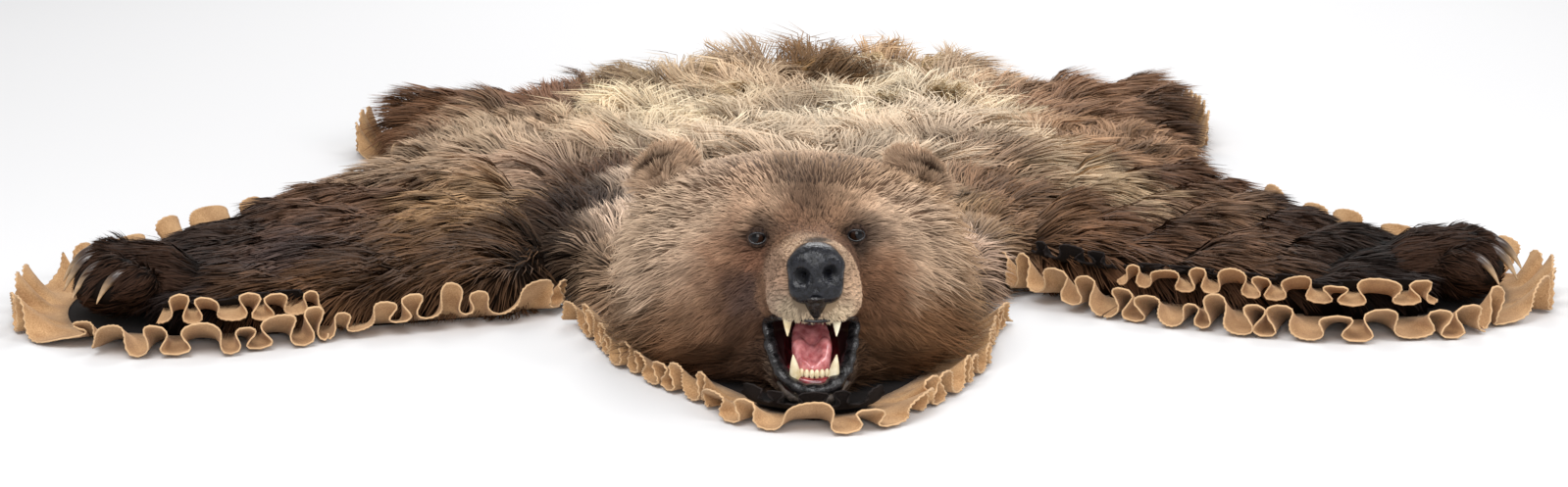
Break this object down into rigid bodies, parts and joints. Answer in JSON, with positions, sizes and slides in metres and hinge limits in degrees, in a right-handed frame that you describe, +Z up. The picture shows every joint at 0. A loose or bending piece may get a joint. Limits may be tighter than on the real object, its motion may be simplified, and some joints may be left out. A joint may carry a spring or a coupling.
{
  "type": "bearskin rug",
  "caption": "Bearskin floor rug lying flat: furry hide with a mounted open-mouthed head, clawed front paws, black felt backing and a gathered tan felt border.",
  "frame": {"origin": "on the floor, under the middle of the whole rug", "axes": "+X to the right of someone facing the head, +Y from the head to the rump, +Z up"},
  "size_m": [2.0086, 1.9442, 0.274],
  "materials": {
    "fur_body": "long dense fur, brown with blond back",
    "fur_head": "short dense fur, brown with pale tips",
    "fur_ear": "short fur with pale rims",
    "fur_paw": "short glossy dark fur",
    "horn": "polished horn, dark root and ivory tip",
    "felt_tan": "matt wool felt with a zigzag cut edge",
    "felt_black": "matt black wool felt",
    "eye": "dark glossy glass",
    "nose": "wet wrinkled black skin",
    "mouth": "wet red tongue and gums",
    "tooth": "ivory enamel"
  },
  "bodies": {
    "root": {"backing": "felt_black", "border_chin": "felt_tan", "border_flank_left": "felt_tan", "border_flank_right": "felt_tan", "border_haunch_left": "felt_tan", "border_haunch_right": "felt_tan", "border_hind_left": "felt_tan", "border_hind_right": "felt_tan", "border_leg_left": "felt_tan", "border_leg_left_rear": "felt_tan", "border_leg_left_upper": "felt_tan", "border_leg_right": "felt_tan", "border_leg_right_rear": "felt_tan", "border_leg_right_upper": "felt_tan", "border_neck_left": "felt_tan", "border_neck_right": "felt_tan", "border_rump": "felt_tan", "border_shoulder_left": "felt_tan", "border_shoulder_right": "felt_tan", "border_tip_left": "felt_tan", "border_tip_right": "felt_tan", "canine_lower_left": "tooth", "canine_lower_right": "tooth", "canine_upper_left": "tooth", "canine_upper_right": "tooth", "claw_left_1": "horn", "claw_left_2": "horn", "claw_left_3": "horn", "claw_left_4": "horn", "claw_left_5": "horn", "claw_right_1": "horn", "claw_right_2": "horn", "claw_right_3": "horn", "claw_right_4": "horn", "claw_right_5": "horn", "ear_left": "fur_ear", "ear_right": "fur_ear", "eye_left": "eye", "eye_right": "eye", "head": "fur_head", "hide": "fur_body", "incisors_lower": "tooth", "nose_pad": "nose", "paw_left": "fur_paw", "paw_right": "fur_paw", "tongue": "mouth", "trim_hind_right": "felt_black", "trim_leg_left": "felt_black", "trim_leg_right": "felt_black", "trim_shoulder_right": "felt_black", "trim_throat": "felt_black"}
  },
  "joints": []
}
